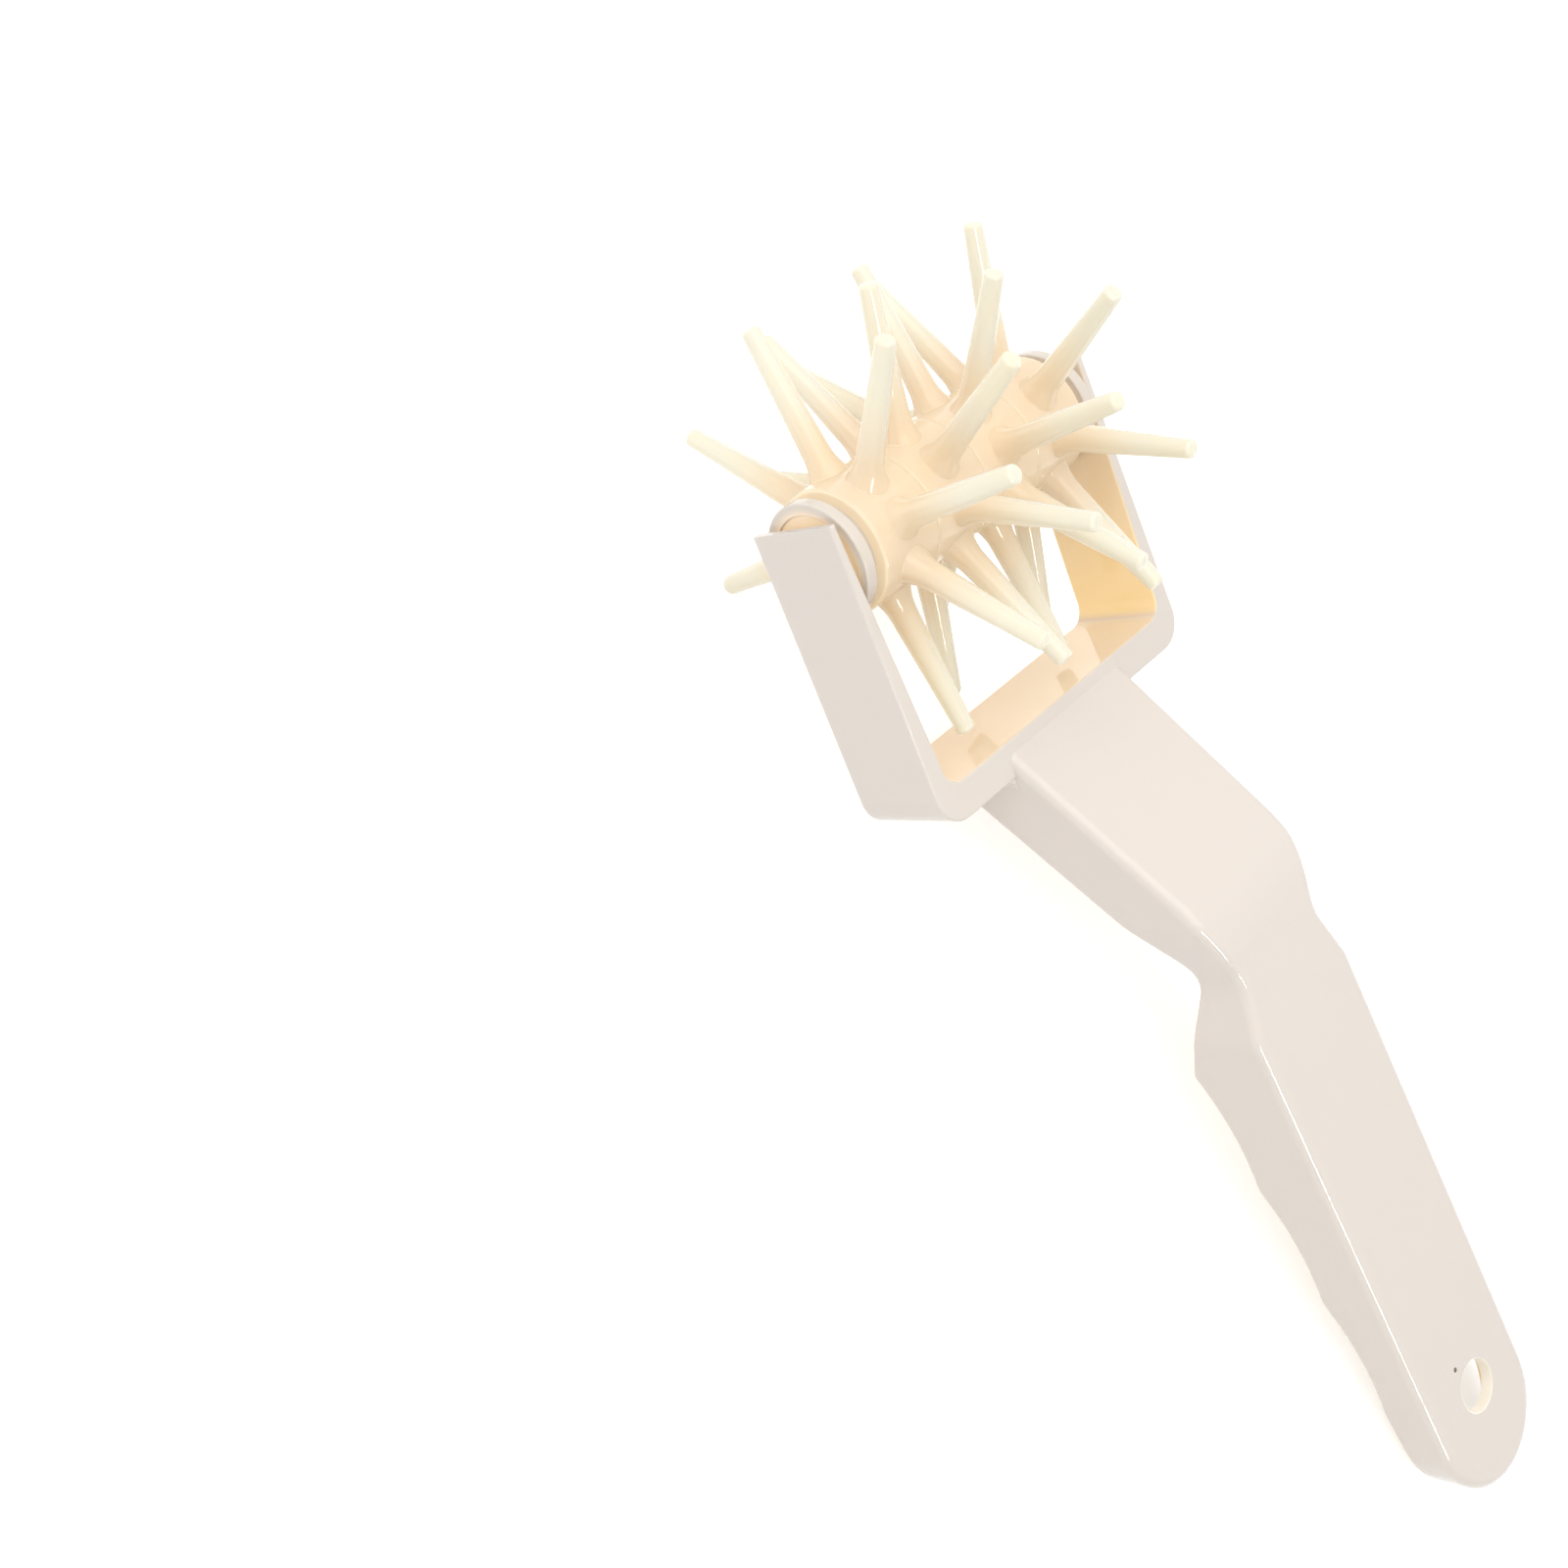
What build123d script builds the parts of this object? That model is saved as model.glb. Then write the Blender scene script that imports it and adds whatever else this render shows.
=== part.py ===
from build123d import *
import os
from math import asin, atan2, cos, hypot, radians, sin, tan

# Hand dough docker: a spiked roller that spins in a one-piece yoke and handle.
#
# The yoke and handle are drawn in the tool's own directions: x runs from the roller's axis
# to the tail, y across the tool and z out of the grip's top face. The tool is then laid down
# as it lies on a table, on the ends of its spikes and on the rim of its tail. The origin is
# on the table, under the middle of the tool. Lengths are in millimetres, angles in degrees.

# Spikes and their rings
ring_count = 4
spikes_per_ring = 8
ring_width = 12.5
spike_reach = 33.6  # roller's axis to a spike's flat end
spike_tip_radius = 1.45
spike_tip_round = 0.6
spike_shank_radius = 2.15  # where the shank meets its flared root
flare_height = 3.5
flare_radius = 3.25
flare_dip = 0.4  # the flare runs out this far below the hub's surface
root_depth = 1.5
hub_radius = 10.0
hub_edge_round = 0.5

# Square core that carries the rings
core_width = 10.0
core_corner_round = 1.0
key_clearance = 0.05

# End caps: a rimmed disc, a collar against the rings and a plug inside the core
cap_disc_radius = 9.5
cap_disc_thickness = 2.1
cap_rim_width = 2.0
cap_recess_depth = 0.4
cap_edge_round = 0.3
cap_collar_radius = 7.9
cap_collar_length = 1.6
cap_plug_radius = 3.8
cap_plug_length = 4.5
plug_clearance = 0.02

# Pivots: a stub and a low boss inside each arm
pivot_radius = 2.5
pivot_clearance = 0.05
pivot_length = 4.5
pivot_end_gap = 0.5
pivot_end_chamfer = 0.4
boss_radius = 4.2
axial_play = 0.3

# Yoke
arm_clearance = 1.05  # cap to arm, at the pivot
arm_height = 16.5
arm_nose = 6.2  # how far an arm runs past the pivot
arm_tip_thickness = 1.2
arm_root_thickness = 3.6
root_narrowing = 1.45  # how much nearer the middle the arm's inner face is at its root
crossbar_clearance = 4.05  # spike ends to crossbar
crossbar_thickness = 5.7
yoke_corner_radius = 5.0
yoke_inner_radius = 3.0
yoke_edge_round = 0.4

# Neck and grip, a channel that is open below
wall = 2.0
neck_slope = 38.0
grip_slope = 5.28
neck_inset = 3.65  # the neck's top face starts this far over the crossbar
neck_run = 30.8  # from there to the shoulder
grip_length = 114.4  # shoulder to tail
shoulder_radius = 22.0
neck_foot_half_width = 15.3
neck_half_width = 14.2
waist_half_width = 10.8
waist_run = 11.5
grip_start_run = 21.0
grip_half_width = 13.6
waist_blend_radius = 8.0
tail_radius = 13.2
top_edge_round = 1.6
lower_edge_round = 0.5
neck_gusset = 2.0

# Lower edge of the skirt: depths are below the line of the grip's top face
neck_step = 1.6  # the neck's walls start this far above the crossbar's lower face
arch_run = 10.3
arch_depth = 7.6
arch_radius = 7.0
finger_stop_run = 28.1
finger_stop_depth = 15.8
finger_stop_round = 1.5
finger_count = 3
finger_pitch = 21.8
finger_hollow = 1.3
finger_crest_round = 6.0
last_crest_depth = 8.9
tail_depth = 7.4

# Hanging hole
hole_radius = 4.4
hole_from_tail = 17.8

overrun = 5.0  # how far cutting shapes reach past what they cut
facing_share = 0.5  # a face that looks at least this squarely up or down is a top or low face

# Places along and across the tool
stack_half = ring_count * ring_width / 2
cap_face = stack_half + cap_collar_length + cap_disc_thickness
arm_half = arm_height / 2
gap_at_pivot = cap_face + arm_clearance
crossbar_front = spike_reach + crossbar_clearance
crossbar_back = crossbar_front + crossbar_thickness
gap_at_root = gap_at_pivot - root_narrowing
gap_at_tip = gap_at_pivot + root_narrowing * arm_nose / crossbar_front
neck_foot = crossbar_back - neck_inset
shoulder_x = neck_foot + neck_run
shoulder_z = arm_half + neck_run * tan(radians(neck_slope))
tail_end = shoulder_x + grip_length
run_out = tail_end + overrun
recess_face = cap_face - cap_recess_depth
boss_end = recess_face + axial_play
pivot_end = boss_end - pivot_length
plug_end = stack_half - cap_plug_length

# A ring's spikes stand this far off the square of the core, so a ring that is turned over
# before it goes on the core stands half a spike away from its neighbours
key_offset = 90 / spikes_per_ring


def grip_line(x):
    """Height of the grip's top face, or of its line carried on, at a place along the tool."""
    return shoulder_z + (x - shoulder_x) * tan(radians(grip_slope))


# Lower line of the tail, from the last crest to the end
last_crest_x = shoulder_x + finger_stop_run + finger_count * finger_pitch
last_crest_z = grip_line(last_crest_x) - last_crest_depth
tail_low_z = grip_line(tail_end) - tail_depth
tail_rim_slope = atan2(tail_low_z - last_crest_z, tail_end - last_crest_x)

# How the tool lies: the two lowest rows of spikes stand evenly either side of the axis, and
# the rounded lower rim of the tail meets the same table
stand = radians(key_offset)
taper = atan2(spike_shank_radius - spike_tip_radius, spike_reach - hub_radius - flare_height)
tip_flat_radius = spike_tip_radius - spike_tip_round * (1 / cos(taper) - tan(taper))
axis_height = (
    (spike_reach - spike_tip_round) * cos(stand)
    + tip_flat_radius * sin(stand)
    + spike_tip_round
)
rim_x = tail_end - lower_edge_round
rim_z = tail_low_z + lower_edge_round * (1 / cos(tail_rim_slope) - tan(tail_rim_slope))
lie_angle = atan2(rim_z, rim_x) + asin((axis_height - lower_edge_round) / hypot(rim_x, rim_z))

# Farthest point of the tail, on the rounding of its top edge
tail_round_x = tail_end - top_edge_round
tail_round_z = grip_line(tail_round_x) - top_edge_round / cos(radians(grip_slope))
tail_reach = tail_round_x * cos(lie_angle) + tail_round_z * sin(lie_angle) + top_edge_round
axis_x = (axis_height - tail_reach) / 2

axis_point = (axis_x, 0, axis_height)
along = (cos(lie_angle), 0, -sin(lie_angle))
outward = (sin(lie_angle), 0, cos(lie_angle))
tool_top = Plane(origin=axis_point, x_dir=along, z_dir=outward)
tool_side = Plane(origin=axis_point, x_dir=along, z_dir=(0, -1, 0))
roller_end = Plane(origin=axis_point, x_dir=(1, 0, 0), z_dir=(0, 1, 0))
roller_section = Plane(origin=axis_point, x_dir=(1, 0, 0), z_dir=(0, 0, 1))
roller_axis = Axis(axis_point, (0, 1, 0))


def top_line(depth):
    """Foot, shoulder and tail of the line that lies a depth below the handle's top face."""
    neck = radians(neck_slope)
    grip = radians(grip_slope)
    bisector = (neck + grip) / 2
    miter = depth / cos((neck - grip) / 2)
    bend = (shoulder_x + miter * sin(bisector), shoulder_z - miter * cos(bisector))
    foot = (neck_foot, bend[1] - (bend[0] - neck_foot) * tan(neck))
    end = (run_out, bend[1] + (run_out - bend[0]) * tan(grip))
    return foot, bend, end


def finger_crests():
    """Lowest points of the skirt's edge, from the finger stop to the last crest before the tail."""
    crests = []
    for place in range(finger_count + 1):
        x = shoulder_x + finger_stop_run + place * finger_pitch
        lift = (finger_stop_depth - last_crest_depth) * place / finger_count
        crests.append((x, grip_line(x) - finger_stop_depth + lift))
    return crests


def half_outline(start, inset):
    """Draw half of the handle's outline from above, an inset in from its outer wall."""
    side = FilletPolyline(
        (start, neck_foot_half_width - inset),
        (shoulder_x, neck_half_width - inset),
        (shoulder_x + waist_run, waist_half_width - inset),
        (shoulder_x + grip_start_run, grip_half_width - inset),
        (tail_end - tail_radius, tail_radius - inset),
        radius=waist_blend_radius,
    )
    bow = (tail_radius - inset) * cos(radians(45))
    tip = (tail_end - inset, 0)
    ThreePointArc(side @ 1, (tail_end - tail_radius + bow, bow), tip)
    Polyline(side @ 0, (start, 0), tip)


def outward_share(face):
    """How squarely a face looks out of the tool's top: one is straight out, minus one below."""
    return face.normal_at().dot(tool_top.z_dir)


def runs_along(edge):
    """Whether an edge runs along the tool or round its tail, not straight across it."""
    return abs(edge.tangent_at(0.5).Y) < cos(radians(neck_slope))


# Handle blank: the solid outer shape of neck and grip, cut from the side and from above
crests = finger_crests()
arch = (shoulder_x + arch_run, grip_line(shoulder_x + arch_run) - arch_depth)
neck_back = (crossbar_back, neck_step - arm_half)
tail_low = (run_out, last_crest_z + (run_out - last_crest_x) * tan(tail_rim_slope))

with BuildPart() as handle_blank:
    with BuildSketch(tool_side) as side_view:
        with BuildLine():
            foot, bend, end = top_line(0)
            FilletPolyline(foot, bend, end, radius=shoulder_radius)
            Polyline(end, tail_low, crests[-1])
            for near, far in zip(crests, crests[1:]):
                middle = ((near[0] + far[0]) / 2, (near[1] + far[1]) / 2 + finger_hollow)
                ThreePointArc(near, middle, far)
            FilletPolyline(crests[0], arch, neck_back, radius=arch_radius)
            Polyline(neck_back, (neck_foot, neck_back[1]), foot)
        make_face()
        for crest in crests[1:]:
            fillet(side_view.vertices().sort_by_distance(crest)[0], radius=finger_crest_round)
        fillet(side_view.vertices().sort_by_distance(crests[0])[0], radius=finger_stop_round)
    extrude(amount=neck_foot_half_width + overrun, both=True)
    with BuildSketch(tool_top):
        with BuildLine():
            half_outline(neck_foot, 0)
        make_face()
        mirror(about=Plane.XZ)
    extrude(amount=grip_line(run_out), both=True, mode=Mode.INTERSECT)
    top_faces = handle_blank.faces().filter_by(lambda face: outward_share(face) > facing_share)
    fillet(top_faces.edges().filter_by(runs_along), radius=top_edge_round)
    low_faces = handle_blank.faces().filter_by(lambda face: outward_share(face) < -facing_share)
    fillet(low_faces.edges().filter_by(runs_along), radius=lower_edge_round)

# Channel: the hollow under neck and grip, one wall in from the blank and open below
with BuildPart() as channel:
    with BuildSketch(tool_side):
        with BuildLine():
            foot, bend, end = top_line(wall)
            ceiling = FilletPolyline(foot, bend, end, radius=shoulder_radius - wall)
            below = -grip_line(run_out)
            Polyline(ceiling @ 1, (run_out, below), (neck_foot, below), ceiling @ 0)
        make_face()
    extrude(amount=neck_foot_half_width, both=True)
    with BuildSketch(tool_top):
        with BuildLine():
            half_outline(crossbar_back, wall)
        make_face()
        mirror(about=Plane.XZ)
    extrude(amount=-below, both=True, mode=Mode.INTERSECT)

# Handle frame: yoke, neck, grip and the two pivots are one moulding
hole_x = tail_end - hole_from_tail
grip_tilt = lie_angle - radians(grip_slope)
hole_centre = tool_side.from_local_coords((hole_x, grip_line(hole_x)))
grip_top = Plane(
    origin=hole_centre,
    x_dir=(cos(grip_tilt), 0, -sin(grip_tilt)),
    z_dir=(sin(grip_tilt), 0, cos(grip_tilt)),
)

with BuildPart() as handle_frame:
    with BuildSketch(tool_top):
        with BuildLine():
            outer = FilletPolyline(
                (-arm_nose, gap_at_tip + arm_tip_thickness),
                (crossbar_back, gap_at_root + arm_root_thickness),
                (crossbar_back, -gap_at_root - arm_root_thickness),
                (-arm_nose, -gap_at_tip - arm_tip_thickness),
                radius=yoke_corner_radius,
            )
            inner = FilletPolyline(
                (-arm_nose, gap_at_tip),
                (crossbar_front, gap_at_root),
                (crossbar_front, -gap_at_root),
                (-arm_nose, -gap_at_tip),
                radius=yoke_inner_radius,
            )
            Line(outer @ 0, inner @ 0)
            Line(outer @ 1, inner @ 1)
        make_face()
    extrude(amount=arm_half, both=True)
    rims = handle_frame.faces().filter_by(lambda face: abs(outward_share(face)) > facing_share)
    fillet(rims.edges(), radius=yoke_edge_round)

    # Gussets where the neck's walls leave the crossbar
    gusset_wall = neck_foot_half_width - wall / 2
    gusset_side = neck_foot_half_width + neck_gusset
    with BuildSketch(tool_top.offset(neck_step - arm_half)):
        with BuildLine():
            hollow = RadiusArc(
                (crossbar_back + neck_gusset, neck_foot_half_width),
                (crossbar_back, gusset_side),
                neck_gusset,
            )
            Polyline(
                hollow @ 1,
                (crossbar_back - neck_gusset, gusset_side),
                (crossbar_back - neck_gusset, gusset_wall),
                (crossbar_back + neck_gusset, gusset_wall),
                hollow @ 0,
            )
        make_face()
        mirror(about=Plane.XZ)
    extrude(amount=arm_height - neck_step - yoke_edge_round)
    add(handle_blank.part)
    add(channel.part, mode=Mode.SUBTRACT)
    with BuildSketch(grip_top):
        Circle(hole_radius)
    extrude(amount=-wall - overrun, mode=Mode.SUBTRACT)

    # A low boss that limits end play, and the stub that an end cap turns on, inside each arm
    arm_middle = gap_at_pivot + arm_tip_thickness / 2
    for side in (-1, 1):
        with BuildSketch(roller_section):
            with BuildLine():
                pivot_outline = [
                    (0, pivot_end),
                    (pivot_radius - pivot_end_chamfer, pivot_end),
                    (pivot_radius, pivot_end + pivot_end_chamfer),
                    (pivot_radius, boss_end),
                    (boss_radius, boss_end),
                    (boss_radius, arm_middle),
                    (0, arm_middle),
                ]
                Polyline([(radius, side * y) for radius, y in pivot_outline], close=True)
            make_face()
        revolve(axis=roller_axis)

# Roller core: a square bar that keys the rings, bored at both ends for the caps
with BuildPart() as roller_core:
    with BuildSketch(roller_end):
        RectangleRounded(core_width, core_width, core_corner_round)
    extrude(amount=stack_half, both=True)
    for side in (-1, 1):
        with BuildSketch(roller_end.offset(side * stack_half)):
            Circle(cap_plug_radius + plug_clearance)
        extrude(amount=-side * (cap_plug_length + pivot_end_gap), mode=Mode.SUBTRACT)

# One spike, lying along x, with its root spread over the hub like the bell of a trumpet
with BuildPart() as spike:
    with BuildSketch() as spike_profile:
        with BuildLine():
            tip = (spike_reach, spike_tip_radius)
            root = hub_radius - root_depth
            shank = Line(tip, (hub_radius + flare_height, spike_shank_radius))
            flare = TangentArc(shank @ 1, (hub_radius - flare_dip, flare_radius), tangent=shank % 1)
            Polyline(flare @ 1, (root, flare_radius), (root, 0), (spike_reach, 0), tip)
        make_face()
        fillet(spike_profile.vertices().sort_by_distance(tip)[0], radius=spike_tip_round)
    revolve(axis=Axis.X)


def spike_ring(place):
    """One ring of spikes, turned over at every other place along the core."""
    middle = (place + 1 / 2) * ring_width - stack_half
    turn = key_offset if place % 2 == 0 else -key_offset
    with BuildPart(roller_end.offset(middle)) as ring:
        with BuildSketch(roller_end.offset(middle)):
            Circle(hub_radius)
        extrude(amount=ring_width / 2, both=True)
        fillet(ring.edges(), radius=hub_edge_round)
        with PolarLocations(0, spikes_per_ring, start_angle=turn):
            add(spike.part)
        with BuildSketch(roller_end.offset(middle)):
            hole_width = core_width + 2 * key_clearance
            RectangleRounded(hole_width, hole_width, core_corner_round)
        extrude(amount=ring_width / 2 + overrun, both=True, mode=Mode.SUBTRACT)
    return ring.part


def end_cap(side):
    """The cap on one end of the core, turned from its half section about the roller's axis."""
    bore_radius = pivot_radius + pivot_clearance
    rim_radius = cap_disc_radius - cap_rim_width
    disc_back = cap_face - cap_disc_thickness
    # Radius and place of each corner of the section, and how far it is rounded
    corners = [
        (bore_radius, recess_face, 0),
        (rim_radius, recess_face, 0),
        (rim_radius, cap_face, cap_edge_round),
        (cap_disc_radius, cap_face, cap_edge_round),
        (cap_disc_radius, disc_back, cap_edge_round),
        (cap_collar_radius, disc_back, 0),
        (cap_collar_radius, stack_half, 0),
        (cap_plug_radius, stack_half, 0),
        (cap_plug_radius, plug_end, cap_edge_round),
        (0, plug_end, 0),
        (0, pivot_end - pivot_end_gap, 0),
        (bore_radius, pivot_end - pivot_end_gap, 0),
    ]
    with BuildPart() as cap:
        with BuildSketch(roller_section):
            with BuildLine():
                points = [(radius, side * y) for radius, y, _ in corners]
                FilletPolyline(points, radius=[rounding for _, _, rounding in corners], close=True)
            make_face()
        revolve(axis=roller_axis)
    return cap.part


parts = {
    "handle_frame": handle_frame.part,
    "roller_core": roller_core.part,
    "end_cap_left": end_cap(-1),
    "end_cap_right": end_cap(1),
}
for place in range(ring_count):
    parts[f"spike_ring_{place + 1}"] = spike_ring(place)

os.makedirs("parts", exist_ok=True)
for name, part in parts.items():
    part.label = name
    export_step(part, f"parts/{name}.step")
    print(name, "volume", round(part.volume), "solids", len(part.solids()))
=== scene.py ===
"""Dresses a hand dough docker: moulded plastic finishes, parting lines, studio and camera."""

import logging
import math
from dataclasses import dataclass, field
from enum import Enum
from functools import partial
from typing import Any, ClassVar, Mapping, Sequence

import bmesh
import bpy
from mathutils import Matrix, Vector


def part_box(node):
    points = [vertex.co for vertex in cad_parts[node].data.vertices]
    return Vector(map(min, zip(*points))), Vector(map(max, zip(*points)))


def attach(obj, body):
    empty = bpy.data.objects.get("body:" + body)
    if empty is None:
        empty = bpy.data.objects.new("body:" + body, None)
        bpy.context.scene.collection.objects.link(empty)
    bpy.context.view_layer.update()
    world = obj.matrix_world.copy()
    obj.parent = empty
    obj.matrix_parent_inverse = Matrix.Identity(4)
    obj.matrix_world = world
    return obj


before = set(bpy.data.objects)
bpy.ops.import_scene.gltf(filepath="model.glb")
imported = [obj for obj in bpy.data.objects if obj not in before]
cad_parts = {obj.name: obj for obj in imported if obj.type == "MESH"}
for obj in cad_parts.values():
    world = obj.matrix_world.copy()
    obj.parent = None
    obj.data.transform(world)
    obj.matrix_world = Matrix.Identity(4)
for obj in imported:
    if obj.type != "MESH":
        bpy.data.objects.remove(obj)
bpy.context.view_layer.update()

log = logging.getLogger("dough_docker")
Colour = tuple[float, float, float]
Point = tuple[float, float, float]
Value = float | tuple | Vector | bpy.types.NodeSocket
DARK = (0.0, 0.0, 0.0, 1.0)


class Body(Enum):
    """The two bodies that pieces ride on."""

    HANDLE = "handle"
    ROLLER = "roller"


class Slot(Enum):
    """The record's material slots."""

    HANDLE = "handle_plastic"
    ROLLER = "roller_plastic"
    CAP = "cap_plastic"
    CORE = "core_plastic"


def to_linear(colour: Colour) -> tuple[float, float, float, float]:
    """Turn a colour as seen on a screen into the linear values that shaders use.

    Args:
        colour: Red, green and blue from 0 to 255.

    Returns:
        Linear red, green and blue, and an alpha of one.
    """
    shares = [channel / 255 for channel in colour]
    linear = [s / 12.92 if s <= 0.04045 else ((s + 0.055) / 1.055) ** 2.4 for s in shares]
    return linear[0], linear[1], linear[2], 1.0


@dataclass
class Wires:
    """Adds nodes to a tree. Each input is fed by a socket or set to a plain value."""

    NUMBER_RESULTS: ClassVar[tuple[str, ...]] = ("DOT_PRODUCT", "LENGTH", "DISTANCE")

    tree: bpy.types.NodeTree

    @property
    def given(self) -> bpy.types.NodeOutputs:
        """What the tree is given, in a node group."""
        return self.tree.nodes["in"].outputs

    def node(self, kind: str, inputs: Mapping[str | int, Value] | None = None,
             **settings: Any) -> bpy.types.Node:
        """Add a node.

        Args:
            kind: The node's type.
            inputs: What feeds each of its inputs.
            **settings: Its own settings, made first.

        Returns:
            The node.
        """
        node = self.tree.nodes.new(kind)
        for label, choice in settings.items():
            setattr(node, label, choice)
        for label, value in (inputs or {}).items():
            self.feed(node.inputs[label], value)
        return node

    def feed(self, socket: bpy.types.NodeSocket, value: Value) -> None:
        """Link an input to a socket, or set it to a plain value.

        Args:
            socket: The input.
            value: Its source or its value.
        """
        if isinstance(value, bpy.types.NodeSocket):
            self.tree.links.new(value, socket)
        else:
            socket.default_value = value

    def give(self, **results: Value) -> bpy.types.NodeTree:
        """Feed the outputs of a node group.

        Args:
            **results: What feeds each output.

        Returns:
            The finished tree.
        """
        for label, value in results.items():
            self.feed(self.tree.nodes["out"].inputs[label], value)
        return self.tree

    def group(self, tree: bpy.types.NodeTree, inputs: Mapping[str, Value]) -> bpy.types.NodeOutputs:
        """Add a node group.

        Args:
            tree: The group.
            inputs: What feeds each of its inputs.

        Returns:
            Its outputs.
        """
        return self.node("ShaderNodeGroup", inputs, node_tree=tree).outputs

    def math(self, operation: str, *values: Value) -> bpy.types.NodeSocket:
        """Work out a number.

        Args:
            operation: The sum to do.
            *values: Its values.

        Returns:
            The result.
        """
        return self.node("ShaderNodeMath", dict(enumerate(values)), operation=operation).outputs[0]

    def vector(self, operation: str, *values: Value) -> bpy.types.NodeSocket:
        """Work out a vector, or a number from vectors.

        Args:
            operation: The sum to do.
            *values: Its values.

        Returns:
            The result.
        """
        node = self.node("ShaderNodeVectorMath", dict(enumerate(values)), operation=operation)
        return node.outputs["Value" if operation in self.NUMBER_RESULTS else "Vector"]

    def here(self, output: str = "Object") -> bpy.types.NodeSocket:
        """Find the shaded point.

        Args:
            output: Object for its place, Normal for the way that it faces.

        Returns:
            The place or direction.
        """
        node = self.tree.nodes.get("here") or self.node("ShaderNodeTexCoord", name="here")
        return node.outputs[output]

    def across(self, vector: bpy.types.NodeSocket) -> bpy.types.NodeSocket:
        """Take a vector's Y, across the tool.

        Args:
            vector: The vector.

        Returns:
            Its Y.
        """
        return self.node("ShaderNodeSeparateXYZ", {0: vector}).outputs["Y"]

    def off_axis(self, axis: bpy.types.NodeSocket) -> bpy.types.NodeSocket:
        """Measure how far the shaded point is from a line along Y.

        Args:
            axis: A place on the line.

        Returns:
            The distance.
        """
        offset = self.vector("SUBTRACT", self.here(), axis)
        return self.vector("LENGTH", self.vector("MULTIPLY", offset, (1, 0, 1)))

    def noise(self, place: bpy.types.NodeSocket, scale: Value, detail: float,
              roughness: float = 0.5) -> bpy.types.NodeSocket:
        """Add cloudy noise.

        Args:
            place: Where it is taken.
            scale: How fine it is.
            detail: How many finer layers it has.
            roughness: The weight of those layers.

        Returns:
            Its level.
        """
        inputs = {"Vector": place, "Scale": scale, "Detail": detail, "Roughness": roughness}
        return self.node("ShaderNodeTexNoise", inputs).outputs["Fac"]

    def ramp(self, value: Value, low: Value, high: Value, floor: Value = 0.0, top: Value = 1.0,
             kind: str = "SMOOTHSTEP") -> bpy.types.NodeSocket:
        """Take a value from one level to another.

        Args:
            value: The value.
            low: Where it leaves the first level.
            high: Where it reaches the second level.
            floor: The first level.
            top: The second level.
            kind: How it runs between them.

        Returns:
            The result.
        """
        inputs = {"Value": value, "From Min": low, "From Max": high, "To Min": floor, "To Max": top}
        return self.node("ShaderNodeMapRange", inputs, interpolation_type=kind).outputs["Result"]

    def mix(self, share: Value, first: Value, second: Value,
            kind: str = "RGBA") -> bpy.types.NodeSocket:
        """Mix two colours or two numbers.

        Args:
            share: How much of the second there is.
            first: The first.
            second: The second.
            kind: RGBA for colours, FLOAT for numbers.

        Returns:
            The mix.
        """
        inputs = {"Factor": share, "A": first, "B": second}
        return self.node("ShaderNodeMix", inputs, data_type=kind).outputs["Result"]


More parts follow.
